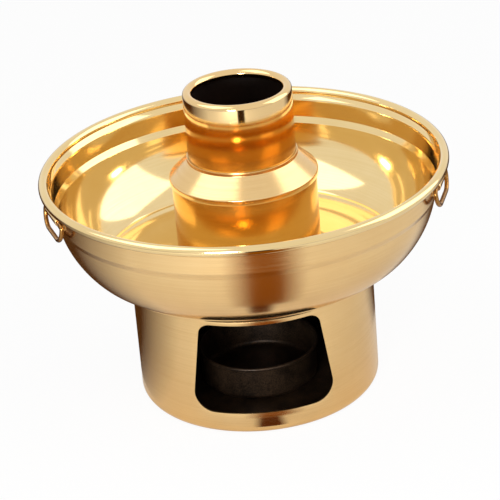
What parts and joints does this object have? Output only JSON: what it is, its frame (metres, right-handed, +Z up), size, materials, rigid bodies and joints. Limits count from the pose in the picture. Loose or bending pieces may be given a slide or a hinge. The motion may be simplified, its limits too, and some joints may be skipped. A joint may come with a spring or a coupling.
{
  "type": "chimney hot pot",
  "caption": "Ring-shaped soup bowl round a fire tube with a lift-off chimney, on a drum with a stoke window, an ash pan and a ring handle at each side.",
  "frame": {"origin": "middle of the foot, on the table", "axes": "+Z up, the stoke window faces -Y, +X to the right seen from the front"},
  "size_m": [0.24, 0.24, 0.189],
  "materials": {
    "gold_sheet": "polished gold-coloured sheet",
    "pale_gold_sheet": "satin pale gold sheet",
    "heated_gold_sheet": "polished gold sheet, darker from its reflections",
    "gold_wire": "polished gold wire",
    "dull_steel": "dull, smoked",
    "iron": "rough"
  },
  "bodies": {
    "pot": {"bowl": "gold_sheet", "fire_tube": "heated_gold_sheet", "base_drum": "pale_gold_sheet", "floor_plate": "dull_steel", "ear_left": "pale_gold_sheet", "ear_right": "pale_gold_sheet"},
    "chimney": {"chimney_cone": "pale_gold_sheet", "chimney_pipe": "gold_sheet"},
    "grate": {"fire_grate": "iron"},
    "pan": {"ash_pan": "dull_steel"},
    "left_handle": {"ring_left": "gold_wire"},
    "right_handle": {"ring_right": "gold_wire"}
  },
  "joints": [
    {"name": "chimney_lift", "type": "slide", "parent": "pot", "child": "chimney", "axis": [0, 0, 1], "range_m": [0, 0.06]},
    {"name": "grate_lift", "type": "slide", "parent": "pot", "child": "grate", "axis": [0, 0, 1], "range_m": [0, 0.055]},
    {"name": "pan_pull", "type": "slide", "parent": "pot", "child": "pan", "axis": [0, -0.9397, 0.342], "range_m": [0, 0.12]},
    {"name": "left_ring_swing", "type": "hinge", "parent": "pot", "child": "left_handle", "pos_m": [-0.11063, -0.03488, 0.1345], "axis": [-0.3007, 0.9537, 0], "range_deg": [-11, 118]},
    {"name": "right_ring_swing", "type": "hinge", "parent": "pot", "child": "right_handle", "pos_m": [0.11063, -0.03488, 0.1345], "axis": [-0.3007, -0.9537, 0], "range_deg": [-11, 118]}
  ]
}
